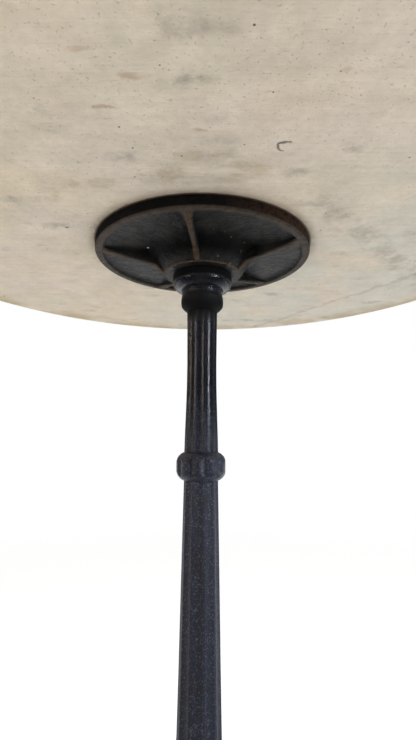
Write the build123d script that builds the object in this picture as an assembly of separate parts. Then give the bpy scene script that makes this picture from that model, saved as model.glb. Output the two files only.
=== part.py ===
"""Bistro table: a round marble top on a ribbed cast-iron plate, a fluted cast-iron column and four cast legs.

Millimetres, +Z up, origin on the floor under the middle of the column. A tie rod through the hollow column
pulls the top plate, the column and the base hub together. They are assembled with the plate and the column
turned a little about Z, so that one rib points nearly along -Y. The legs are bolted to the hub from inside
it, and each leg stands on a screw-in levelling glide.
Lengths called "drop" are measured down from the top face of the top plate.
"""

from build123d import *
from math import cos, radians, sin
import os

# ---------------------------------------------------------------- driving dimensions
TABLE_HEIGHT = 730
TOP_DIAMETER = 700
TOP_THICKNESS = 20
BED_THICKNESS = 1

UPPER_TURN = -7
PLATE_RADIUS = 110
RIM_DEPTH = 10.3
RIM_WIDTH = 7.5
PANEL_DROP = 7.2
PANEL_TOP_DROP = 2.0
LAND_INNER_RADIUS = 84
HUB_DROP = 28
HUB_TOP_RADIUS = 50
HUB_LOW_RADIUS = 40.5
RIBS = 5
RIB_BEND_RADIUS = 52
RIB_BEND_DROP = 20
RIB_ROUND = 2
RIB_HALF_WIDTH = 3
RIB_FLARE = 5.5

COLLAR_RADIUS = 30.4
NECK_RADIUS = 21.5
FLUTES = 10
FLUTE_DEPTH = 1.5
RIDGE_HALF_ANGLE = 3.5
KNOP_RADIUS = 24.2
LOBE_DEPTH = 2.3
KNOP_MIDDLE_DROP = 222.5
KNOP_HALF_HEIGHT = 13.5
COLUMN_BORE_RADIUS = 8

COLUMN_SEAT_Z = 160
SPIGOT_RADIUS = 24
SPIGOT_LENGTH = 5.7
SOCKET_RADIUS = 24.2
SOCKET_DEPTH = 6

LEGS = 4
HUB_PAD_X = 46
HUB_CAVITY_HALF = 27
LEG_ROOT_LOW_Z = 68
LEG_ROOT_HIGH_Z = 134
LEG_ROOT_WIDTH = 36
LEG_WEB = 9
FOOT_X = 230
FOOT_RADIUS = 18
FOOT_LOW_Z = 12
FOOT_HEIGHT = 27
EDGE_ROUND = 1.5

THREAD_GAP = 0.02
ROD_RADIUS = 6
ROD_HOLE_RADIUS = 6.6
ROD_NUT_HEIGHT = 10
ROD_NUT_FLATS = 19
WASHER_RADIUS = 14
WASHER_THICKNESS = 2.5
COVER_THICKNESS = 6

BOLT_RADIUS = 4
BOLT_HEAD_FLATS = 13
BOLT_HEAD_HEIGHT = 5.3
BOLT_WASHER_RADIUS = 8
BOLT_WASHER_THICKNESS = 1.6
BOLT_Z = (86, 116)
BOLT_GRIP_END_X = 62

GLIDE_STEM_RADIUS = 4.95
GLIDE_HOLE_RADIUS = 5.0
GLIDE_STEM_TOP_Z = 31
GLIDE_PAD_RADIUS = 17
GLIDE_PAD_HEIGHT = 7

# ---------------------------------------------------------------- derived levels and angles
PLATE_TOP_Z = TABLE_HEIGHT - TOP_THICKNESS - BED_THICKNESS
ROD_SEAT_DROP = 14.5
FOOT_DROP = PLATE_TOP_Z - COLUMN_SEAT_Z - 44
HUB_BASE_LOW_Z = 56
LEG_ROOT_HEIGHT = LEG_ROOT_HIGH_Z - LEG_ROOT_LOW_Z
RIB_ANGLES = [UPPER_TURN - 90 + 360 / RIBS * k for k in range(RIBS)]
RIDGE_ANGLES = [UPPER_TURN - 90 + 360 / FLUTES * (k + 0.5) for k in range(FLUTES)]
LEG_ANGLES = [45 + 360 / LEGS * k for k in range(LEGS)]


def at(drop):
    """Height above the floor of a level that lies drop below the top face of the top plate."""
    return PLATE_TOP_Z - drop


def polar(radius, degrees, z=0.0):
    return (radius * cos(radians(degrees)), radius * sin(radians(degrees)), z)


def turned(start, *steps):
    """Solid of revolution about Z from a closed outline that begins at start, (radius, z).

    Each step is the next corner, (radius, z), or an arc's (middle radius, middle z, end radius, end z).
    """
    edges = []
    here = (start[0], 0, start[1])
    for step in (*steps, start):
        there = (step[-2], 0, step[-1])
        if len(step) == 4:
            edges.append(ThreePointArc(here, (step[0], 0, step[1]), there))
        else:
            edges.append(Line(here, there))
        here = there
    return revolve(make_face(edges), Axis.Z)


def disc(radius, low, high, hole=0.0):
    solid = Pos(0, 0, low) * Cylinder(radius, high - low, align=(Align.CENTER, Align.CENTER, Align.MIN))
    if hole:
        solid -= Pos(0, 0, low) * Cylinder(hole, high - low, align=(Align.CENTER, Align.CENTER, Align.MIN))
    return solid


def hexagon(flats, low, high, hole=0.0):
    prism = extrude(Plane.XY.offset(low) * RegularPolygon(flats / 2, 6, major_radius=False), high - low)
    return prism - disc(hole, low, high) if hole else prism


def side_prism(outline, thickness):
    """Plate of the given thickness, centred on the XZ plane, from an outline wire or edges in that plane."""
    return extrude(make_face(outline), amount=thickness / 2, both=True)


# ---------------------------------------------------------------- marble top and its bed
def marble_top():
    low = TABLE_HEIGHT - TOP_THICKNESS
    slab = disc(TOP_DIAMETER / 2, low, TABLE_HEIGHT)
    slab = fillet(slab.edges().sort_by(Axis.Z)[-1], 6)
    return fillet(slab.edges().sort_by(Axis.Z)[0], 3)


def mastic_bed():
    return disc(PLATE_RADIUS - 6, PLATE_TOP_Z, PLATE_TOP_Z + BED_THICKNESS, hole=LAND_INNER_RADIUS + 2)


# ---------------------------------------------------------------- top plate
def rib_section(radius, half_width, drop):
    """Upright section of a rib, with a rounded lower edge that reaches down to drop."""
    top, shoulder = at(PANEL_DROP - 2), at(drop) + RIB_ROUND
    near_top, far_top = (radius, -half_width, top), (radius, half_width, top)
    near_low, far_low = (radius, -half_width, shoulder), (radius, half_width, shoulder)
    return make_face(
        [
            Line(near_top, far_top),
            Line(far_top, far_low),
            ThreePointArc(far_low, (radius, 0, at(drop)), near_low),
            Line(near_low, near_top),
        ]
    )


def plate_rib():
    """One rib along +X: it runs down the hub, then its lower edge slopes up to the rim, where it flares."""
    rim_radius, rim_drop = PLATE_RADIUS - RIM_WIDTH + 1, RIM_DEPTH - 0.3
    stations = [
        (HUB_LOW_RADIUS - 4, RIB_HALF_WIDTH, HUB_DROP - 0.3),
        (HUB_LOW_RADIUS + 0.5, RIB_HALF_WIDTH, HUB_DROP - 0.3),
        (HUB_LOW_RADIUS + 5.5, RIB_HALF_WIDTH, HUB_DROP - 3.6),
        (RIB_BEND_RADIUS - 3, RIB_HALF_WIDTH, RIB_BEND_DROP + 1.8),
    ]
    steps = 10
    for step in range(steps + 1):
        share = step / steps
        radius = RIB_BEND_RADIUS + share * (rim_radius - RIB_BEND_RADIUS)
        drop = RIB_BEND_DROP + share * (rim_drop - RIB_BEND_DROP)
        stations.append((radius, RIB_HALF_WIDTH + RIB_FLARE * share**6, drop))
    return loft([rib_section(*station) for station in stations], ruled=True)


def top_plate():
    rim_inner = PLATE_RADIUS - RIM_WIDTH
    body = turned(
        (PLATE_RADIUS, at(0)),
        (PLATE_RADIUS, at(RIM_DEPTH - 2.5)),
        (PLATE_RADIUS - 0.7, at(RIM_DEPTH - 0.7), PLATE_RADIUS - 2.5, at(RIM_DEPTH)),
        (rim_inner + 1, at(RIM_DEPTH)),
        (rim_inner, at(RIM_DEPTH - 0.5), rim_inner - 0.5, at(RIM_DEPTH - 1.5)),
        (rim_inner - 1.5, at(PANEL_DROP + 0.4), rim_inner - 3, at(PANEL_DROP)),
        (HUB_TOP_RADIUS + 10, at(PANEL_DROP)),
        (HUB_TOP_RADIUS + 1.5, at(PANEL_DROP + 3.2), HUB_TOP_RADIUS - 2.4, at(PANEL_DROP + 9)),
        (HUB_LOW_RADIUS, at(HUB_DROP - 1)),
        (HUB_LOW_RADIUS - 1, at(HUB_DROP)),
        (SOCKET_RADIUS, at(HUB_DROP)),
        (SOCKET_RADIUS, at(HUB_DROP - SOCKET_DEPTH)),
        (ROD_HOLE_RADIUS, at(HUB_DROP - SOCKET_DEPTH)),
        (ROD_HOLE_RADIUS, at(ROD_SEAT_DROP)),
        (34, at(ROD_SEAT_DROP)),
        (37, at(0)),
        (45, at(0)),
        (48, at(PANEL_TOP_DROP)),
        (LAND_INNER_RADIUS - 2, at(PANEL_TOP_DROP)),
        (LAND_INNER_RADIUS, at(0)),
    )
    for angle in RIB_ANGLES:
        body += Rot(0, 0, angle) * plate_rib()
    return body


# ---------------------------------------------------------------- column
def fluted_section(z, radius):
    """Column section: narrow ridges on the given radius with a shallow hollow between each two."""
    pitch = 360 / FLUTES
    edges = []
    for ridge in RIDGE_ANGLES:
        start = polar(radius, ridge - RIDGE_HALF_ANGLE, z)
        end = polar(radius, ridge + RIDGE_HALF_ANGLE, z)
        edges.append(ThreePointArc(start, polar(radius, ridge, z), end))
        hollow = polar(radius - FLUTE_DEPTH, ridge + pitch / 2, z)
        edges.append(ThreePointArc(end, hollow, polar(radius, ridge + pitch - RIDGE_HALF_ANGLE, z)))
    return make_face(edges)


def fluted_shaft(stations):
    """Shaft through (drop, ridge radius) stations, highest first."""
    return loft([fluted_section(at(drop), radius) for drop, radius in stations])


def knop():
    """Ring round the column: ten upright lobes, rounded above and below."""
    middle = at(KNOP_MIDDLE_DROP)
    blank = turned(
        (0, middle + KNOP_HALF_HEIGHT),
        (16.4, middle + KNOP_HALF_HEIGHT),
        (21.7, middle + 9.9, KNOP_RADIUS, middle + 3.6),
        (KNOP_RADIUS, middle - 3.6),
        (22.3, middle - 9.6, 17.2, middle - KNOP_HALF_HEIGHT),
        (0, middle - KNOP_HALF_HEIGHT),
    )
    arcs = []
    groove_radius = KNOP_RADIUS - LOBE_DEPTH
    for groove in RIDGE_ANGLES:
        start, end = polar(groove_radius, groove), polar(groove_radius, groove + 360 / FLUTES)
        arcs.append(ThreePointArc(start, polar(KNOP_RADIUS, groove + 180 / FLUTES), end))
    lobes = extrude(Pos(0, 0, middle) * make_face(arcs), amount=KNOP_HALF_HEIGHT, both=True)
    return blank & lobes


def column_head():
    """Spigot, collar with a quarter-round under it, neck, and the cone down to the shaft."""
    spigot_top = at(HUB_DROP - SPIGOT_LENGTH)
    collar_low, neck_high, neck_low = HUB_DROP + 8.5, HUB_DROP + 17, HUB_DROP + 34
    return turned(
        (0, spigot_top),
        (SPIGOT_RADIUS, spigot_top),
        (SPIGOT_RADIUS, at(HUB_DROP)),
        (COLLAR_RADIUS - 1, at(HUB_DROP)),
        (COLLAR_RADIUS, at(HUB_DROP + 1)),
        (COLLAR_RADIUS, at(collar_low)),
        (COLLAR_RADIUS - 2.4, at(collar_low + 6), NECK_RADIUS + 0.3, at(neck_high)),
        (NECK_RADIUS - 0.6, at(neck_high + 4), NECK_RADIUS - 0.1, at(neck_high + 8)),
        (NECK_RADIUS + 0.2, at(neck_high + 12.5), NECK_RADIUS - 0.4, at(neck_low)),
        (NECK_RADIUS - 2.2, at(neck_low + 2.2), 15.6, at(neck_low + 5.2)),
        (14.0, at(neck_low + 6)),
        (0, at(neck_low + 6)),
    )


def column_foot():
    """Torus, cove and plinth under the shaft, with the spigot that drops into the base hub."""
    seat = COLUMN_SEAT_Z
    return turned(
        (0, seat + 50),
        (21, seat + 50),
        (26.5, seat + 43, 22, seat + 36),
        (25.5, seat + 20, 36, seat + 11),
        (38.5, seat + 8),
        (38.5, seat + 1),
        (37.5, seat),
        (SPIGOT_RADIUS, seat),
        (SPIGOT_RADIUS, seat - SPIGOT_LENGTH),
        (0, seat - SPIGOT_LENGTH),
    )


def column():
    upper = [(60, 15.4), (100, 14.9), (135, 14.75), (172, 15.6), (KNOP_MIDDLE_DROP, 16.6)]
    lower = [(KNOP_MIDDLE_DROP, 16.4), (290, 17.6), (340, 18.4), (430, 19.9), (FOOT_DROP, 21.6)]
    body = column_head() + fluted_shaft(upper) + knop() + fluted_shaft(lower) + column_foot()
    bore_low = COLUMN_SEAT_Z - SPIGOT_LENGTH - 1
    return body - disc(COLUMN_BORE_RADIUS, bore_low, at(HUB_DROP - SPIGOT_LENGTH - 1))


# ---------------------------------------------------------------- base hub and its cover
def base_hub():
    seat, low = COLUMN_SEAT_Z, HUB_BASE_LOW_Z
    body = turned(
        (0, seat),
        (40, seat),
        (41, seat - 1),
        (41, seat - 6),
        (34.5, seat - 11, 38, seat - 18),
        (43.5, seat - 50, 38.5, low + 18),
        (39.5, low + 11, 44, low + 8),
        (44, low + 1),
        (43, low),
        (0, low),
    )
    pad = Box(HUB_PAD_X - 20, LEG_ROOT_WIDTH, LEG_ROOT_HEIGHT, align=(Align.MIN, Align.CENTER, Align.MIN))
    pad = fillet(pad.edges().filter_by(Axis.X), 5)
    for angle in LEG_ANGLES:
        body += Rot(0, 0, angle) * Pos(20, 0, LEG_ROOT_LOW_Z) * pad
    side = 2 * HUB_CAVITY_HALF
    hollow = extrude(Plane.XY.offset(low) * RectangleRounded(side, side, 10), LEG_ROOT_HIGH_Z - low)
    body -= Rot(0, 0, LEG_ANGLES[0]) * hollow
    body -= disc(SOCKET_RADIUS, seat - SOCKET_DEPTH, seat)
    body -= disc(ROD_HOLE_RADIUS, low, seat)
    for angle in LEG_ANGLES:
        for z in BOLT_Z:
            body -= Rot(0, 0, angle) * radial_pin(BOLT_RADIUS + 0.4, HUB_CAVITY_HALF - 5, HUB_PAD_X + 1, z)
    return body


def base_cover():
    low = HUB_BASE_LOW_Z - COVER_THICKNESS
    cover = disc(42, low, HUB_BASE_LOW_Z, hole=ROD_HOLE_RADIUS)
    lowest = cover.edges().filter_by(GeomType.CIRCLE).group_by(Axis.Z)[0]
    return chamfer(lowest.sort_by(SortBy.RADIUS)[-1], 2)


def radial_pin(radius, start_x, end_x, z):
    """Cylinder along +X between two distances from the table's axis."""
    return Pos(start_x, 0, z) * Rot(0, 90, 0) * disc(radius, 0, end_x - start_x)


# ---------------------------------------------------------------- leg, drawn along +X
def leg_upper_edge():
    return Spline(
        (HUB_PAD_X, 0, LEG_ROOT_HIGH_Z),
        (88, 0, 127),
        (132, 0, 96),
        (172, 0, 56),
        (FOOT_X - 16, 0, 35),
        tangents=[(1, 0, 0.12), (1, 0, -0.05)],
    )


def leg_lower_edge():
    return Spline(
        (HUB_PAD_X, 0, LEG_ROOT_LOW_Z),
        (82, 0, 70),
        (122, 0, 46),
        (162, 0, 22),
        (FOOT_X - 16, 0, 13),
        tangents=[(1, 0, 0.35), (1, 0, -0.02)],
    )


def edge_band(edge, thickness, width, inward):
    """Bead that follows an edge of the leg: the strip between it and its copy moved inward along Z."""
    other = edge.moved(Location((0, 0, inward * thickness)))
    start = Line(edge @ 0, other @ 0)
    end = Line(edge @ 1, other @ 1)
    band = side_prism([edge, end, other, start], width)
    return fillet(band.edges().filter_by(lambda side: side.length > 100), EDGE_ROUND)


def leg_blank():
    """Web with a pierced teardrop, a wide cap along its upper edge and a narrow bead along its lower one."""
    upper, lower = leg_upper_edge(), leg_lower_edge()
    outline = [upper, Line(upper @ 1, lower @ 1), lower, Line(lower @ 0, upper @ 0)]
    web = side_prism(outline, LEG_WEB)
    teardrop = Spline(
        (84, 0, 110),
        (108, 0, 96),
        (148, 0, 52),
        (112, 0, 70),
        (84, 0, 88),
        periodic=True,
    )
    web -= side_prism([teardrop], 2 * LEG_WEB)
    return web + edge_band(upper, 7, 20, -1) + edge_band(lower, 6, 14, 1)


def leg_root():
    """Flange that bears on the hub, with a tapering block behind it that takes the bolt threads."""
    flange = Box(8, LEG_ROOT_WIDTH, LEG_ROOT_HEIGHT, align=(Align.MIN, Align.CENTER, Align.MIN))
    flange = fillet(flange.edges().filter_by(Axis.X), 5)
    plan = Polyline((0, -15, 0), (22, -7, 0), (22, 7, 0), (0, 15, 0), close=True)
    block = extrude(make_face(plan), LEG_ROOT_HEIGHT - 10)
    return Pos(HUB_PAD_X, 0, LEG_ROOT_LOW_Z) * (flange + Pos(0, 0, 5) * block)


def leg_foot():
    """Domed round foot with a beaded lower edge, solid until the glide's blind hole is made."""
    top = FOOT_LOW_Z + FOOT_HEIGHT
    foot = turned(
        (0, FOOT_LOW_Z),
        (FOOT_RADIUS - 1, FOOT_LOW_Z),
        (FOOT_RADIUS + 1, FOOT_LOW_Z + 2.5, FOOT_RADIUS - 1, FOOT_LOW_Z + 5),
        (FOOT_RADIUS - 0.5, FOOT_LOW_Z + 8),
        (FOOT_RADIUS * 0.72, top - 6.5, 0, top),
    )
    return Pos(FOOT_X, 0, 0) * foot


def leg():
    body = leg_blank() + leg_root() + leg_foot()
    for z in BOLT_Z:
        body -= radial_pin(BOLT_RADIUS + THREAD_GAP, HUB_PAD_X - 1, BOLT_GRIP_END_X + 1, z)
    return body - Pos(FOOT_X, 0, 0) * disc(GLIDE_HOLE_RADIUS, FOOT_LOW_Z - 1, GLIDE_STEM_TOP_Z + 1.5)


# ---------------------------------------------------------------- levelling glide, drawn at the axis
def glide_screw():
    """Stem, hexagon that the spanner turns, and the pin that the pad swivels on."""
    hexagon_low = GLIDE_PAD_HEIGHT
    stem = disc(GLIDE_STEM_RADIUS, FOOT_LOW_Z, GLIDE_STEM_TOP_Z)
    stem = chamfer(stem.edges().sort_by(Axis.Z)[-1], 1)
    return stem + hexagon(19, hexagon_low, FOOT_LOW_Z) + disc(4, hexagon_low - 4, hexagon_low)


def glide_pad():
    pad = disc(GLIDE_PAD_RADIUS, 0, GLIDE_PAD_HEIGHT)
    pad = fillet(pad.edges().sort_by(Axis.Z)[-1], 3)
    pad = chamfer(pad.edges().sort_by(Axis.Z)[0], 1)
    return pad - disc(4.05, GLIDE_PAD_HEIGHT - 4.2, GLIDE_PAD_HEIGHT)


# ---------------------------------------------------------------- fasteners
def tie_rod():
    rod = disc(ROD_RADIUS, at(0.5) - ROD_LENGTH, at(0.5))
    return chamfer(rod.edges().filter_by(GeomType.CIRCLE), 1)


def rod_nut(low):
    return hexagon(ROD_NUT_FLATS, low, low + ROD_NUT_HEIGHT, hole=ROD_RADIUS + THREAD_GAP)


def rod_washer(low):
    return disc(WASHER_RADIUS, low, low + WASHER_THICKNESS, hole=ROD_HOLE_RADIUS)


def leg_bolt(z):
    washer_end = HUB_CAVITY_HALF
    head_end = washer_end - BOLT_WASHER_THICKNESS
    head = Rot(0, 90, 0) * hexagon(BOLT_HEAD_FLATS, head_end - BOLT_HEAD_HEIGHT, head_end)
    return Pos(0, 0, z) * head + radial_pin(BOLT_RADIUS, head_end, BOLT_GRIP_END_X, z)


def leg_bolt_washer(z):
    start = HUB_CAVITY_HALF - BOLT_WASHER_THICKNESS
    ring = radial_pin(BOLT_WASHER_RADIUS, start, HUB_CAVITY_HALF, z)
    return ring - radial_pin(BOLT_RADIUS + 0.3, start, HUB_CAVITY_HALF, z)


def all_round(make):
    """The same fastener at every leg and at each bolt height, as separate solids."""
    return Compound([Rot(0, 0, angle) * make(z) for angle in LEG_ANGLES for z in BOLT_Z])


# ---------------------------------------------------------------- assembly
cover_low = HUB_BASE_LOW_Z - COVER_THICKNESS
bottom_nut_low = cover_low - WASHER_THICKNESS - ROD_NUT_HEIGHT
top_washer_low = at(ROD_SEAT_DROP)
ROD_LENGTH = at(0.5) - bottom_nut_low + 3.5

nodes = {
    "marble_top": marble_top(),
    "mastic_bed": mastic_bed(),
    "top_plate": top_plate(),
    "column": column(),
    "base_hub": base_hub(),
    "base_cover": base_cover(),
    "tie_rod": tie_rod(),
    "tie_rod_top_washer": rod_washer(top_washer_low),
    "tie_rod_top_nut": rod_nut(top_washer_low + WASHER_THICKNESS),
    "tie_rod_bottom_washer": rod_washer(cover_low - WASHER_THICKNESS),
    "tie_rod_bottom_nut": rod_nut(bottom_nut_low),
    "leg_bolts": all_round(leg_bolt),
    "leg_bolt_washers": all_round(leg_bolt_washer),
}
for number, angle in enumerate(LEG_ANGLES, start=1):
    place = Rot(0, 0, angle)
    nodes[f"leg_{number}"] = place * leg()
    nodes[f"glide_screw_{number}"] = place * Pos(FOOT_X, 0, 0) * glide_screw()
    nodes[f"glide_pad_{number}"] = place * Pos(FOOT_X, 0, 0) * glide_pad()

os.makedirs("parts", exist_ok=True)
for name, shape in nodes.items():
    export_step(shape, f"parts/{name}.step")
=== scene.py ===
"""Bistro table: finishes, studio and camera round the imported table. Metres, +Z up, origin on the floor."""

import math

import bpy
from mathutils import Matrix, Vector


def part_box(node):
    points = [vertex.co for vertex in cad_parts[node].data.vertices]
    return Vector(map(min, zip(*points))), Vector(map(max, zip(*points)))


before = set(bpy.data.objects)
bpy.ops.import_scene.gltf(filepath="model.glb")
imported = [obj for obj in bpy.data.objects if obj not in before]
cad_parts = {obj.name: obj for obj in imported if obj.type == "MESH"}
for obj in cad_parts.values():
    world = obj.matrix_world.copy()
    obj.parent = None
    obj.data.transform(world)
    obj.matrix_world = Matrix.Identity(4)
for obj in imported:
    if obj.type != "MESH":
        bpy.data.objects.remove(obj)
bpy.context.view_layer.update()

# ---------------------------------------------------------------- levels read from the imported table
marble_low, marble_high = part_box("marble_top")
_, plate_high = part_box("top_plate")
column_low, column_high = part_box("column")
UNDERSIDE_Z = marble_low[2]
TOP_RADIUS = marble_high[0]
PLATE_RADIUS = plate_high[0]
PLATE_TOP_Z = plate_high[2]

# ---------------------------------------------------------------- places on the castings
# The plate: radii from its axis, and drops below its top face.
RIBS = 5
RIB_AZIMUTH = math.radians(-97)
RIB_END_RADIUS = 0.102
RIB_END_DROP = 0.0103
RIB_SLOPE = 0.206
LIP_RADIUS = 0.1
LIP_DROP = 0.0075
HUB_EDGE_RADIUS = 0.0398
HUB_EDGE_DROP = 0.0262
# The column: shares of its height, and heights in metres.
KNOP_SHARE = 0.624
SHINE_SHARE = 0.64
SHINE_BELOW, SHINE_ABOVE = 0.02, 0.075
COLLAR_HEIGHT = 0.0145
KNOP_REACH = 0.022
NECK_DROP, NECK_REACH = 0.027, 0.02
# A height that no part of the table reaches.
OUT_OF_REACH = 1.0


# ---------------------------------------------------------------- shader nodes by short calls
def linear(red, green, blue):
    """Linear RGBA of a colour given in display values from 0 to 255."""
    def channel(value):
        share = value / 255
        return share / 12.92 if share <= 0.04045 else ((share + 0.055) / 1.055) ** 2.4

    return (channel(red), channel(green), channel(blue), 1.0)


class Finish:
    """A material built from nodes. An argument may be a number, a colour or another node's output."""

    def __init__(self, name):
        self.material = bpy.data.materials.new(name)
        self.material.use_nodes = True
        self.tree = self.material.node_tree
        self.surface = self.tree.nodes["Principled BSDF"]
        self.place = self.node("ShaderNodeTexCoord").outputs["Object"]
        self.x, self.y, self.z = self.split(self.place)

    def node(self, kind, **settings):
        made = self.tree.nodes.new(kind)
        for key, value in settings.items():
            setattr(made, key, value)
        return made

    def feed(self, socket, value):
        """Link value to the socket if it is another node's output, or else set it there."""
        if isinstance(value, bpy.types.NodeSocket):
            self.tree.links.new(value, socket)
        else:
            socket.default_value = value

    def math(self, operation, first, second=0.0, third=0.0):
        made = self.node("ShaderNodeMath", operation=operation)
        for socket, value in zip(made.inputs, (first, second, third)):
            self.feed(socket, value)
        return made.outputs[0]

    def split(self, vector):
        made = self.node("ShaderNodeSeparateXYZ")
        self.feed(made.inputs[0], vector)
        return made.outputs

    def vector(self, operation, first, second):
        made = self.node("ShaderNodeVectorMath", operation=operation)
        self.feed(made.inputs[0], first)
        self.feed(made.inputs[1], second)
        return made.outputs["Value" if operation in ("LENGTH", "DISTANCE", "DOT_PRODUCT") else "Vector"]

    def scaled(self, vector, factor):
        made = self.node("ShaderNodeVectorMath", operation="SCALE")
        self.feed(made.inputs[0], vector)
        self.feed(made.inputs["Scale"], factor)
        return made.outputs["Vector"]

    def noise(self, size, detail=3.0, rough=0.55, warp=0.0, where=None, shift=(0.0, 0.0, 0.0)):
        """Noise from 0 to 1 whose largest blotches are about size metres across."""
        made = self.node("ShaderNodeTexNoise")
        base = where if where is not None else self.place
        self.feed(made.inputs["Vector"], self.vector("ADD", base, shift))
        self.feed(made.inputs["Scale"], 1.0 / size)
        self.feed(made.inputs["Detail"], detail)
        self.feed(made.inputs["Roughness"], rough)
        self.feed(made.inputs["Distortion"], warp)
        return made.outputs["Fac"]

    def cells(self, size, where=None, shift=(0.0, 0.0, 0.0)):
        """Distance to the nearest of scattered points about size metres apart, in units of size."""
        made = self.node("ShaderNodeTexVoronoi", feature="F1")
        base = where if where is not None else self.place
        self.feed(made.inputs["Vector"], self.vector("ADD", base, shift))
        self.feed(made.inputs["Scale"], 1.0 / size)
        return made.outputs["Distance"]

    def length(self, vector):
        return self.vector("LENGTH", vector, (0.0, 0.0, 0.0))

    def centred(self, size, detail, rough, where=None):
        """Noise that wavers round 0, from -0.5 to 0.5."""
        return self.math("SUBTRACT", self.noise(size, detail, rough, where=where), 0.5)

    def jitter(self, size, detail, reach):
        """Flat offset in random directions, of the order of a quarter of reach."""
        made = self.node("ShaderNodeTexNoise")
        self.feed(made.inputs["Vector"], self.place)
        self.feed(made.inputs["Scale"], 1.0 / size)
        self.feed(made.inputs["Detail"], detail)
        offset = self.vector("SUBTRACT", made.outputs["Color"], (0.5, 0.5, 0.5))
        return self.vector("MULTIPLY", offset, (reach, reach, 0.0))

    def step(self, value, low, high):
        """Smooth step from 0 where value is low to 1 where it is high, which may be the smaller."""
        made = self.node("ShaderNodeMapRange", interpolation_type="SMOOTHSTEP")
        for key, number in (("Value", value), ("From Min", low), ("From Max", high)):
            self.feed(made.inputs[key], number)
        return made.outputs["Result"]

    def times(self, *values):
        product = values[0]
        for value in values[1:]:
            product = self.math("MULTIPLY", product, value)
        return product

    def highest(self, *values):
        top = values[0]
        for value in values[1:]:
            top = self.math("MAXIMUM", top, value)
        return top

    def mix(self, share, first, second):
        """A colour from first, where share is 0, to second, where it is 1."""
        made = self.node("ShaderNodeMix", data_type="RGBA")
        self.feed(made.inputs[0], share)
        self.feed(made.inputs[6], first)
        self.feed(made.inputs[7], second)
        return made.outputs[2]

    def over(self, colour, share, *display):
        """The colour with share of another, given in display values, laid over it."""
        return self.mix(share, colour, linear(*display))

    def blend(self, share, first, second):
        """A number from first, where share is 0, to second, where it is 1."""
        made = self.node("ShaderNodeMix", data_type="FLOAT")
        self.feed(made.inputs[0], share)
        self.feed(made.inputs[2], first)
        self.feed(made.inputs[3], second)
        return made.outputs[0]

    def shader_mix(self, share, first, second):
        made = self.node("ShaderNodeMixShader")
        for socket, source in zip(made.inputs, (share, first, second)):
            self.feed(socket, source)
        return made.outputs[0]

    def radius(self):
        """Distance from the table's axis."""
        squares = self.math("ADD", self.times(self.x, self.x), self.times(self.y, self.y))
        return self.math("SQRT", squares)

    def near(self, value, target, reach):
        """1 where value is at target, falling to 0 at reach away from it."""
        return self.step(self.math("ABSOLUTE", self.math("SUBTRACT", value, target)), reach, 0.0)

    def bump(self, height, depth, onto=None):
        made = self.node("ShaderNodeBump")
        self.feed(made.inputs["Height"], height)
        made.inputs["Distance"].default_value = depth
        if onto is not None:
            self.feed(made.inputs["Normal"], onto)
        return made.outputs["Normal"]

    def done(self, colour, roughness, normal=None, **constants):
        self.feed(self.surface.inputs["Base Color"], colour)
        self.feed(self.surface.inputs["Roughness"], roughness)
        if normal is not None:
            self.feed(self.surface.inputs["Normal"], normal)
        for key, value in constants.items():
            self.surface.inputs[key.replace("_", " ")].default_value = value
        return self.material


# ---------------------------------------------------------------- marble
# Straight lines across the slab: the azimuth of the line's normal, and its distance from the table's axis.
VEIN_AZIMUTH = -43
VEIN_OUT = 0.4 * TOP_RADIUS
CRACK_AZIMUTH = 33
CRACK_OUT = 0.72 * TOP_RADIUS
# The stained arc of the underside lies in front of the plate, a little to its left.
STAIN_AZIMUTH = -108
STAIN_RADIUS = 1.32 * PLATE_RADIUS
STAIN_REACH = 0.26 * PLATE_RADIUS
# A short curved inclusion of black, right of the stains.
INK_CENTRE = (0.53 * PLATE_RADIUS, -1.54 * PLATE_RADIUS, 0.0)
INK_RADIUS = 0.005


def heading(degrees):
    """Level unit vector at an azimuth from +X."""
    return (math.cos(math.radians(degrees)), math.sin(math.radians(degrees)), 0.0)


def line_gap(f, where, azimuth, out):
    """Distance from the straight line whose normal points to azimuth, out from the axis."""
    along_normal = f.vector("DOT_PRODUCT", where, heading(azimuth))
    return f.math("ABSOLUTE", f.math("SUBTRACT", along_normal, out))


def ovals(f, where, spacing, stretch, size, soft, shift):
    """1 inside ovals scattered about spacing apart, stretch times as long in X as in Y.

    An oval's size is a share of the spacing, and soft is the share of it over which the edge fades.
    """
    squeezed = f.vector("MULTIPLY", where, (1.0 / stretch, 1.0, 1.0))
    return f.step(f.cells(spacing, where=squeezed, shift=shift), size, size * (1.0 - soft))


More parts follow.
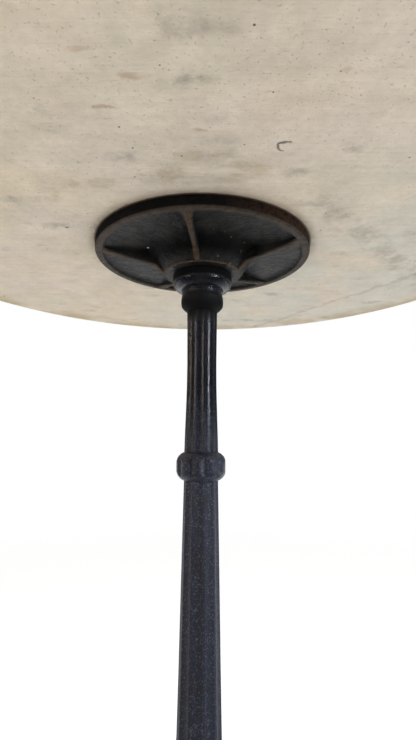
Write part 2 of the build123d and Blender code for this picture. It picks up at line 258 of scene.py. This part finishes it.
def marble():
    """Polished above, sawn and never cleaned below. Its marks have torn edges."""
    f = Finish("marble")
    shake = f.jitter(0.03, 4, 0.026)
    ragged = f.vector("ADD", f.place, f.vector("ADD", f.scaled(shake, 0.35), f.jitter(0.006, 3, 0.005)))
    fringe = f.vector("MULTIPLY", f.jitter(0.007, 4, 0.009), (2.2, 1.0, 0.0))
    torn = f.vector("ADD", f.place, f.vector("ADD", shake, fringe))
    below = f.step(f.z, UNDERSIDE_Z + 0.004, UNDERSIDE_Z + 0.001)
    above = f.math("SUBTRACT", 1.0, below)
    radius = f.radius()
    along_x = f.vector("MULTIPLY", f.place, (0.22, 1.0, 1.0))
    sawn = f.noise(0.0045, 4, 0.75, where=f.vector("MULTIPLY", f.place, (0.035, 1.0, 1.0)))

    # clouds of colour
    cream, pink = linear(205, 194, 178), linear(206, 194, 180)
    straw, green = linear(203, 190, 166), linear(197, 193, 181)
    colour = f.mix(f.step(f.noise(0.11, 4), 0.42, 0.6), cream, pink)
    leftish = f.step(f.math("MULTIPLY_ADD", f.noise(0.12, 3), 0.12, f.x), 0.04, -0.12)
    straw_clouds = f.step(f.noise(0.07, 5, shift=(3, 1, 0)), 0.42, 0.6)
    straw_share = f.times(straw_clouds, f.blend(leftish, 0.3, 1.0))
    colour = f.mix(f.times(straw_share, 0.55), colour, straw)
    far_right = f.step(f.math("ADD", f.x, f.times(f.y, 0.6)), 0.0, 0.17)
    green_clouds = f.step(f.noise(0.1, 4, shift=(7, 0, 0)), 0.34, 0.56)
    green_share = f.times(green_clouds, f.blend(far_right, 0.2, 1.0))
    colour = f.mix(f.times(green_share, 0.9), colour, green)

    # cloudy, sawn and dusty tones
    cloudy = f.times(f.centred(0.024, 4, 0.6), 0.36)
    dusty = f.times(f.centred(0.005, 4, 0.7), 0.26)
    tone = f.math("ADD", cloudy, dusty)
    streaks = f.times(f.centred(0.016, 5, 0.65, where=along_x), 0.12)
    saw_tone = f.times(f.math("SUBTRACT", sawn, 0.5), below, 0.16)
    tone = f.math("ADD", f.math("ADD", tone, streaks), f.math("ADD", saw_tone, 1.0))
    colour = f.scaled(colour, tone)

    # grey cloud of strokes in front of the plate
    from_cloud = f.vector("SUBTRACT", torn, (0.0, -STAIN_RADIUS, 0.0))
    cloud_reach = f.length(f.vector("MULTIPLY", from_cloud, (1.0, 1.9, 0.0)))
    strokes = f.step(f.noise(0.016, 5, 0.65, where=along_x, shift=(1, 6, 0)), 0.4, 0.64)
    cloud = f.times(f.step(cloud_reach, 0.08, 0.025), strokes, below)
    colour = f.over(colour, f.times(cloud, 0.3), 142, 132, 120)

    # veins: crisp lines on the polished face, clouds and smudges on the sawn face
    vein_gap = line_gap(f, torn, VEIN_AZIMUTH, VEIN_OUT)
    vein_run = f.step(f.vector("DOT_PRODUCT", torn, heading(VEIN_AZIMUTH + 90)), -0.04, 0.0)
    faded = f.step(f.noise(0.13, 4, shift=(2, 0, 9)), 0.42, 0.66)
    wandering = f.near(f.noise(0.26, 5, 0.55, warp=0.7, shift=(11, 5, 0)), 0.5, 0.02)
    wild = f.times(wandering, f.blend(faded, 0.12, 0.9))
    polished = f.highest(wild, f.times(f.step(vein_gap, 0.036, 0.0), vein_run, 0.8))
    colour = f.over(colour, f.times(polished, above, 0.55), 120, 118, 114)
    crumbs = f.step(f.noise(0.009, 5, 0.75), 0.28, 0.62)
    crumbly = f.blend(crumbs, 0.4, 1.0)
    patches = f.times(f.step(f.noise(0.02, 4, 0.6, shift=(0, 5, 0)), 0.4, 0.62), crumbly)
    band = f.times(f.step(vein_gap, 0.024, 0.002), vein_run, patches)
    scattered = f.step(f.noise(0.07, 3, shift=(5, 9, 0)), 0.44, 0.58)
    smudges = f.times(ovals(f, torn, 0.028, 2.0, 0.36, 0.9, (3, 0, 0)), scattered, crumbs)
    grey = f.highest(f.times(smudges, 0.5), f.times(band, 0.42))
    colour = f.over(colour, f.times(grey, below), 126, 121, 114)
    crack = f.times(f.step(line_gap(f, torn, CRACK_AZIMUTH, CRACK_OUT), 0.006, 0.0005), crumbly)
    colour = f.over(colour, f.times(crack, 0.32), 128, 120, 104)

    # black inclusion: half of a small ring, open on its +X side
    from_ink = f.vector("SUBTRACT", ragged, INK_CENTRE)
    ring = f.near(f.length(f.vector("MULTIPLY", from_ink, (1.0, 1.0, 0.0))), INK_RADIUS, 0.0013)
    closed_side = f.step(f.vector("DOT_PRODUCT", from_ink, heading(20)), 0.002, 0.0)
    colour = f.over(colour, f.times(ring, closed_side, below, 0.8), 66, 62, 58)

    # oval stains in an arc before the plate, and flecks of rust
    bearing = f.math("DIVIDE", f.vector("DOT_PRODUCT", ragged, heading(STAIN_AZIMUTH)), radius)
    in_arc = f.times(f.near(radius, STAIN_RADIUS, STAIN_REACH), f.step(bearing, 0.72, 0.9))
    stained = f.step(in_arc, 0.1, 0.5)
    blots = f.times(ovals(f, ragged, 0.021, 1.35, 0.46, 0.28, (0, 2, 0)), stained)
    blots = f.times(blots, f.step(f.noise(0.01, 4, shift=(1, 1, 4)), 0.25, 0.6), below)
    colour = f.over(colour, f.times(blots, 0.32), 166, 147, 114)
    flecks = ovals(f, ragged, 0.017, 3.5, 0.2, 0.5, (9, 4, 0))
    rusty = f.times(flecks, f.step(f.noise(0.05, 2, shift=(4, 0, 7)), 0.5, 0.6))
    colour = f.over(colour, f.times(rusty, below, 0.4), 150, 116, 80)

    # specks: pinholes filled with dirt, thickest to the left of the plate
    from_crowd = f.vector("SUBTRACT", f.place, (-1.1 * PLATE_RADIUS, -0.55 * PLATE_RADIUS, UNDERSIDE_Z))
    crowd = f.step(f.length(from_crowd), 0.09, 0.02)
    pinholes = f.step(f.cells(0.0042), 0.2, 0.1)
    dust = f.times(pinholes, f.step(f.noise(0.02, 3, shift=(2, 2, 2)), 0.62, 0.42), below)
    colour = f.over(colour, f.times(dust, f.blend(crowd, 0.2, 0.55)), 110, 98, 82)
    specks = f.times(f.step(f.cells(0.017, shift=(6, 1, 0)), 0.055, 0.03), below)
    colour = f.over(colour, f.times(specks, 0.85), 96, 74, 54)
    chips = f.times(f.step(f.cells(0.075, where=ragged, shift=(4, 4, 0)), 0.03, 0.015), below)
    colour = f.over(colour, f.times(chips, 0.8), 70, 64, 54)

    # grime round the plate, a painted shadow along the plate's edge, and a yellowed outer edge
    plate_gap = f.math("SUBTRACT", radius, PLATE_RADIUS)
    halo = f.times(f.step(plate_gap, 0.011, -0.001), f.step(f.noise(0.012, 4), 0.25, 0.6), below)
    colour = f.over(colour, f.times(halo, 0.45), 140, 114, 80)
    # painted shadow: a dark band in the last 2 mm outside the plate's rim, and under the plate
    colour = f.over(colour, f.times(f.step(plate_gap, 0.0022, 0.0004), below, 0.75), 60, 44, 30)
    wavy_radius = f.math("MULTIPLY_ADD", f.noise(0.03, 4), -0.05, radius)
    edge = f.step(wavy_radius, TOP_RADIUS - 0.07, TOP_RADIUS - 0.028)
    yellowed = f.step(f.noise(0.05, 4, shift=(8, 8, 0)), 0.34, 0.56)
    outer = f.times(edge, yellowed, f.blend(below, 0.2, 0.7))
    colour = f.over(colour, outer, 172, 154, 118)

    pits = f.step(f.noise(0.0025, 3, 0.6), 0.6, 0.75)
    height = f.math("SUBTRACT", f.times(sawn, below), f.times(pits, f.blend(below, 0.1, 0.7)))
    rough_above = f.blend(f.noise(0.03, 3), 0.16, 0.28)
    rough_below = f.blend(f.noise(0.01, 4), 0.5, 0.72)
    return f.done(colour, f.blend(below, rough_above, rough_below), f.bump(height, 0.0006))


# ---------------------------------------------------------------- cast iron
def casting_height(f, grain_share=1.0):
    """Sand-cast skin: fine grain on low broad swells, in units of the grain's depth."""
    grain = f.noise(0.0019, 4, 0.65)
    swell = f.noise(0.009, 3, 0.5, shift=(5, 2, 1))
    return f.math("ADD", f.times(grain, grain_share), f.times(swell, 1.8))


def plate_iron():
    """Bare cast iron with worn rusty edges. Painted shade darkens it by the hub's front and on the wall round
    the rim.
    """
    f = Finish("plate_iron")
    radius = f.radius()
    drop = f.math("SUBTRACT", PLATE_TOP_Z, f.z)
    fine = f.noise(0.004, 4, 0.7)
    colour = f.mix(f.step(f.noise(0.02, 5, 0.65), 0.38, 0.62), linear(32, 32, 33), linear(54, 52, 50))
    # painted glints: light grey flecks over the fine grain stand in for glints on the cast skin
    colour = f.over(colour, f.times(f.step(fine, 0.52, 0.7), 0.45), 80, 78, 76)
    # painted shade: the panel round the hub is darkened to near black on its front (-Y) side
    hub_shade_reach = f.math("MULTIPLY_ADD", f.noise(0.02, 3), 0.02, radius)
    hub_shade = f.times(f.step(hub_shade_reach, 0.086, 0.06), f.step(radius, 0.041, 0.048))
    hub_shade = f.times(hub_shade, f.step(f.y, 0.0, -0.04))
    colour = f.over(colour, f.times(hub_shade, 0.85), 8, 7, 7)

    # raised edges rubbed to bare, rusty iron: the ribs' lower edges, the rim's lip and the hub's edge
    front = f.step(f.math("MULTIPLY_ADD", f.noise(0.03, 3), 0.04, f.y), 0.065, 0.0)
    rib_line = f.math("MULTIPLY_ADD", f.math("SUBTRACT", RIB_END_RADIUS, radius), RIB_SLOPE, RIB_END_DROP)
    on_rib = f.times(f.near(drop, rib_line, 0.0022), f.step(radius, 0.05, 0.054), f.step(radius, 0.108, 0.1))
    from_rib = f.math("SUBTRACT", f.math("ARCTAN2", f.y, f.x), RIB_AZIMUTH)
    rib_wave = f.math("COSINE", f.times(from_rib, RIBS))
    down_hub = f.times(f.step(radius, 0.0405, 0.0425), f.step(drop, 0.018, 0.021))
    down_hub = f.times(down_hub, f.step(rib_wave, 0.93, 0.97))
    lip = f.step(radius, LIP_RADIUS, LIP_RADIUS + 0.0035)
    lip = f.times(lip, f.step(drop, LIP_DROP, LIP_DROP + 0.0023), f.blend(front, 0.08, 0.55))
    hub_edge = f.near(radius, HUB_EDGE_RADIUS, 0.0016)
    hub_edge = f.times(hub_edge, f.step(drop, HUB_EDGE_DROP, HUB_EDGE_DROP + 0.0012))
    worn = f.times(f.highest(on_rib, down_hub, lip, hub_edge), f.step(fine, 0.2, 0.48))
    rust_share = f.step(f.noise(0.008, 4, 0.7, shift=(1, 9, 4)), 0.35, 0.65)
    rust = f.mix(rust_share, linear(88, 69, 48), linear(108, 92, 76))
    colour = f.mix(f.times(worn, 0.85), colour, rust)

    # the rim's wall is darkened near to black as painted shade, and turns to brown rust towards +X
    outside = f.step(radius, PLATE_RADIUS - 0.0012, PLATE_RADIUS - 0.0004)
    wall = f.times(outside, f.step(drop, 0.0092, 0.008))
    brown = f.times(wall, f.step(f.math("MULTIPLY_ADD", f.noise(0.03, 4, 0.7), 0.09, f.x), 0.05, 0.13))
    colour = f.over(colour, f.times(wall, 0.85), 8, 7, 6)
    colour = f.over(colour, f.times(brown, f.step(fine, 0.3, 0.6), 0.75), 90, 62, 42)

    # rust dots by the hub, towards -Y and +X, and one fleck of white
    dots = f.times(f.step(f.cells(0.0065, shift=(0.3, 0.2, 0.1)), 0.17, 0.1), f.step(radius, 0.075, 0.05))
    dots = f.times(dots, f.step(f.y, -0.02, -0.04), f.step(f.x, -0.006, 0.004))
    dots = f.times(dots, f.step(f.noise(0.006, 2), 0.38, 0.44))
    colour = f.over(colour, dots, 150, 118, 70)
    fleck = f.vector("DISTANCE", f.vector("MULTIPLY", f.place, (1.0, 1.0, 0.0)), (-0.0545, -0.023, 0.0))
    colour = f.over(colour, f.step(fleck, 0.0015, 0.0009), 236, 234, 230)

    streak = f.noise(0.005, 5, 0.65, warp=1.2, where=f.vector("MULTIPLY", f.place, (0.5, 1.0, 1.0)))
    height = f.math("ADD", casting_height(f, 0.6), f.times(streak, 1.5))
    rough = f.blend(worn, f.blend(f.step(fine, 0.3, 0.7), 0.32, 0.5), 0.7)
    rough = f.blend(f.highest(wall, f.times(hub_shade, 0.5)), rough, 0.95)
    return f.done(colour, rough, f.bump(height, 0.0019), Specular_IOR_Level=0.4)


def painted_iron(name, gloss_band, ring_z, shade_from_z):
    """Blue-black paint over the casting: dull, but glossy above the band and round ring_z.

    Painted shade blackens it from a height up, and in the neck below that.
    """
    f = Finish(name)
    fine = f.noise(0.0016, 4, 0.75)
    wavering = f.math("MULTIPLY_ADD", f.noise(0.012, 4), 0.05, f.math("SUBTRACT", f.z, 0.025))
    gloss = f.step(wavering, gloss_band[0], gloss_band[1])
    handled = f.times(f.near(f.z, ring_z, KNOP_REACH), 0.6)
    # painted shade: the collar and the neck below it are blackened and made rough
    neck = f.times(f.near(f.z, shade_from_z - NECK_DROP, NECK_REACH), 0.92)
    shade_under_plate = f.highest(f.step(f.z, shade_from_z, shade_from_z + 0.002), neck)
    colour = f.mix(gloss, linear(57, 60, 73), linear(27, 30, 38))
    brown = f.step(f.noise(0.03, 5, 0.65, shift=(2, 8, 1)), 0.5, 0.68)
    colour = f.over(colour, f.times(brown, 0.4), 58, 50, 50)
    colour = f.over(colour, f.times(f.step(fine, 0.52, 0.64), f.blend(gloss, 0.85, 0.15)), 112, 114, 127)
    specks = f.step(f.cells(0.0045, shift=(1, 1, 1)), 0.09, 0.05)
    colour = f.over(colour, f.times(specks, f.blend(gloss, 0.4, 0.15)), 140, 132, 128)
    colour = f.over(colour, f.times(shade_under_plate, 0.9), 7, 6, 7)
    shine = f.highest(gloss, handled)
    rough = f.blend(shine, f.blend(fine, 0.38, 0.54), f.blend(fine, 0.14, 0.26))
    rough = f.blend(shade_under_plate, rough, f.blend(fine, 0.75, 1.0))
    height = f.times(casting_height(f), f.blend(gloss, 1.0, 0.6))
    return f.done(colour, rough, f.bump(height, 0.00045))


# ---------------------------------------------------------------- smaller finishes
def mastic():
    f = Finish("mastic")
    colour = f.mix(f.noise(0.006, 4), linear(84, 68, 48), linear(44, 36, 28))
    return f.done(colour, f.blend(f.noise(0.004, 3), 0.6, 0.85), f.bump(f.noise(0.002, 4), 0.0006))


def black_paint():
    f = Finish("cover_paint")
    fine = f.noise(0.003, 4, 0.7)
    colour = f.mix(f.step(fine, 0.4, 0.7), linear(28, 28, 31), linear(58, 56, 56))
    colour = f.over(colour, f.times(f.step(f.noise(0.012, 5, 0.7), 0.58, 0.7), 0.6), 90, 62, 42)
    return f.done(colour, f.blend(fine, 0.35, 0.6), f.bump(fine, 0.0003))


def steel(name, bright, dull, rust_share):
    f = Finish(name)
    turned = f.noise(0.0009, 3, 0.6, where=f.vector("MULTIPLY", f.place, (1.0, 1.0, 6.0)))
    stain = f.noise(0.007, 5, 0.7)
    colour = f.mix(f.step(stain, 0.35, 0.65), bright, dull)
    rusty = f.times(f.step(f.noise(0.005, 5, 0.7, shift=(3, 3, 3)), 0.56, 0.66), rust_share)
    colour = f.over(colour, rusty, 116, 76, 48)
    rough = f.blend(rusty, f.blend(turned, 0.28, 0.5), 0.8)
    f.feed(f.surface.inputs["Metallic"], f.blend(rusty, 1.0, 0.1))
    return f.done(colour, rough, f.bump(turned, 0.00015))


def moulded_plastic():
    f = Finish("moulded_plastic")
    texture = f.noise(0.0008, 3, 0.6)
    scuffs = f.step(f.noise(0.004, 5, 0.7), 0.55, 0.75)
    colour = f.mix(f.times(scuffs, 0.6), linear(30, 30, 31), linear(78, 76, 74))
    return f.done(colour, f.blend(texture, 0.5, 0.72), f.bump(texture, 0.0002))


def column_iron():
    foot_z, head_z = column_low[2], column_high[2]
    shine_z = foot_z + SHINE_SHARE * (head_z - foot_z)
    knop_z = foot_z + KNOP_SHARE * (head_z - foot_z)
    gloss_band = (shine_z - SHINE_BELOW, shine_z + SHINE_ABOVE)
    return painted_iron("column_iron", gloss_band, knop_z, head_z - COLLAR_HEIGHT)


def base_iron():
    return painted_iron("base_iron", (OUT_OF_REACH, OUT_OF_REACH + 0.1), OUT_OF_REACH, OUT_OF_REACH)


def assign_finishes():
    """Give every CAD node the finish of what it is made of."""
    finishes = {
        "marble": marble(),
        "mastic": mastic(),
        "plate": plate_iron(),
        "column": column_iron(),
        "base": base_iron(),
        "cover": black_paint(),
        "fastener": steel("fastener_steel", linear(168, 164, 158), linear(118, 112, 106), 0.9),
        "glide": steel("glide_steel", linear(190, 188, 182), linear(150, 146, 140), 0.35),
        "plastic": moulded_plastic(),
    }
    choice = {"marble_top": "marble", "mastic_bed": "mastic", "top_plate": "plate", "column": "column"}
    for name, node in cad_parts.items():
        key = choice.get(name)
        if key is None and name.startswith(("leg_bolt", "tie_rod")):
            key = "fastener"
        elif key is None and name.startswith("glide_screw"):
            key = "glide"
        elif key is None and name.startswith("glide_pad"):
            key = "plastic"
        elif key is None:
            key = "cover" if name == "base_cover" else "base"
        for slot in node.material_slots:
            slot.material = finishes[key]


assign_finishes()


# ---------------------------------------------------------------- floor, light and camera
FLOOR_RADIUS = 6.0
CLEAR_FLOOR = 1.3
FLOOR_FADE = 1.2
MIRRORED_FRONT = 0.02
MIRRORED_WALL = 0.3
MIRRORED_FLOOR = 1.6
WHITE = (1.0, 1.0, 1.0, 1.0)
WARM = (1.0, 0.955, 0.9, 1.0)
COOL = (0.9, 0.95, 1.0, 1.0)
UPPER_SHAFT = (0, 0, 0.58)


def floor():
    """Plain white disc of floor: it fades into the surroundings, and from below it isn't seen.

    Reflections see it dark in front of the table.
    """
    bpy.ops.mesh.primitive_circle_add(vertices=96, radius=FLOOR_RADIUS, fill_type="NGON", location=(0, 0, 0))
    disc = bpy.context.object
    disc.name = "floor"
    f = Finish("floor")
    f.feed(f.surface.inputs["Base Color"], linear(252, 252, 251))
    f.feed(f.surface.inputs["Roughness"], 0.8)
    glow = f.node("ShaderNodeEmission")
    glow.inputs["Color"].default_value = WHITE
    far = f.step(f.radius(), CLEAR_FLOOR, CLEAR_FLOOR + FLOOR_FADE)
    fade = f.shader_mix(far, f.surface.outputs[0], glow.outputs[0])
    mirrored = f.node("ShaderNodeEmission")
    f.feed(mirrored.inputs["Strength"], f.blend(f.step(f.y, -0.4, 1.1), MIRRORED_FRONT, MIRRORED_FLOOR))
    path = f.node("ShaderNodeLightPath")
    reflected = f.shader_mix(path.outputs["Is Glossy Ray"], fade, mirrored.outputs[0])
    from_below = f.times(f.node("ShaderNodeNewGeometry").outputs["Backfacing"], path.outputs["Is Camera Ray"])
    clear = f.node("ShaderNodeBsdfTransparent")
    shown = f.shader_mix(from_below, reflected, clear.outputs[0])
    f.feed(f.tree.nodes["Material Output"].inputs["Surface"], shown)
    disc.data.materials.append(f.material)


def surroundings():
    """White to look at. As light it is bright behind the table (+Y) and dim in front.

    In reflections it is darker still, but for the part overhead.
    """
    world = bpy.data.worlds.new("studio")
    bpy.context.scene.world = world
    world.use_nodes = True
    tree = world.node_tree
    tree.nodes.clear()
    new, link = tree.nodes.new, tree.links.new

    def ramp(source, low, high, from_value, to_value):
        made = new("ShaderNodeMapRange")
        made.interpolation_type = "SMOOTHSTEP"
        link(source, made.inputs["Value"])
        keys = ("From Min", "From Max", "To Min", "To Max")
        for key, number in zip(keys, (low, high, from_value, to_value)):
            made.inputs[key].default_value = number
        return made.outputs[0]

    def background(strength, colour=None):
        made = new("ShaderNodeBackground")
        for socket, value in ((made.inputs["Strength"], strength), (made.inputs["Color"], colour)):
            if isinstance(value, bpy.types.NodeSocket):
                link(value, socket)
            elif value is not None:
                socket.default_value = value
        return made.outputs[0]

    def choose(share, first, second):
        made = new("ShaderNodeMixShader")
        for socket, source in zip(made.inputs, (share, first, second)):
            link(source, socket)
        return made.outputs[0]

    direction = new("ShaderNodeTexCoord")
    axes = new("ShaderNodeSeparateXYZ")
    link(direction.outputs["Generated"], axes.inputs[0])
    across, away, up = axes.outputs
    tint = new("ShaderNodeMix")
    tint.data_type = "RGBA"
    link(ramp(across, -1.0, 1.0, 0.0, 1.0), tint.inputs[0])
    tint.inputs[6].default_value = WARM
    tint.inputs[7].default_value = COOL
    light = background(ramp(away, -0.5, 0.5, 0.16, 1.9), tint.outputs[2])
    level = background(ramp(away, -0.55, 0.8, MIRRORED_FRONT, MIRRORED_WALL), tint.outputs[2])
    overhead = background(ramp(away, -1.0, 0.6, 0.2, 1.0))
    mirrored = choose(ramp(up, 0.25, 0.7, 0.0, 1.0), level, overhead)
    path = new("ShaderNodeLightPath")
    lit = choose(path.outputs["Is Glossy Ray"], light, mirrored)
    out = new("ShaderNodeOutputWorld")
    seen = choose(path.outputs["Is Camera Ray"], lit, background(1.0, WHITE))
    link(seen, out.inputs["Surface"])


def soft_light(name, place, target, width, height, power, colour):
    """Narrow upright rectangle of light. Its reflection is the gleam along the shaft's ridges."""
    data = bpy.data.lights.new(name, "AREA")
    data.shape = "RECTANGLE"
    data.size, data.size_y = width, height
    data.energy = power
    data.color = colour
    light = bpy.data.objects.new(name, data)
    bpy.context.collection.objects.link(light)
    light.location = place
    light.rotation_euler = (Vector(target) - Vector(place)).to_track_quat("-Z", "Y").to_euler()
    light.visible_camera = False


def camera():
    """At the photograph's viewpoint: below the top, in front of the column, looking up a little."""
    eye = Vector((0.0063, -0.450, UNDERSIDE_Z - 0.198))
    pitch, roll = math.radians(8.8), math.radians(0.3)
    data = bpy.data.cameras.new("camera")
    data.sensor_width = 36
    data.lens = 21.9
    data.clip_start = 0.01
    data.clip_end = 100
    made = bpy.data.objects.new("camera", data)
    bpy.context.collection.objects.link(made)
    turn = Matrix.Rotation(math.pi / 2 + pitch, 4, "X") @ Matrix.Rotation(roll, 4, "Z")
    made.matrix_world = Matrix.Translation(eye) @ turn
    bpy.context.scene.camera = made


camera()
floor()
surroundings()
soft_light("window_right", (1.3, -1.1, 0.88), UPPER_SHAFT, 0.09, 0.42, 14, (0.86, 0.92, 1.0))
soft_light("window_left", (-1.4, -0.95, 0.88), UPPER_SHAFT, 0.12, 0.42, 5, (1.0, 0.85, 0.7))
bpy.context.scene.view_settings.view_transform = "Standard"
bpy.context.scene.view_settings.gamma = 0.82
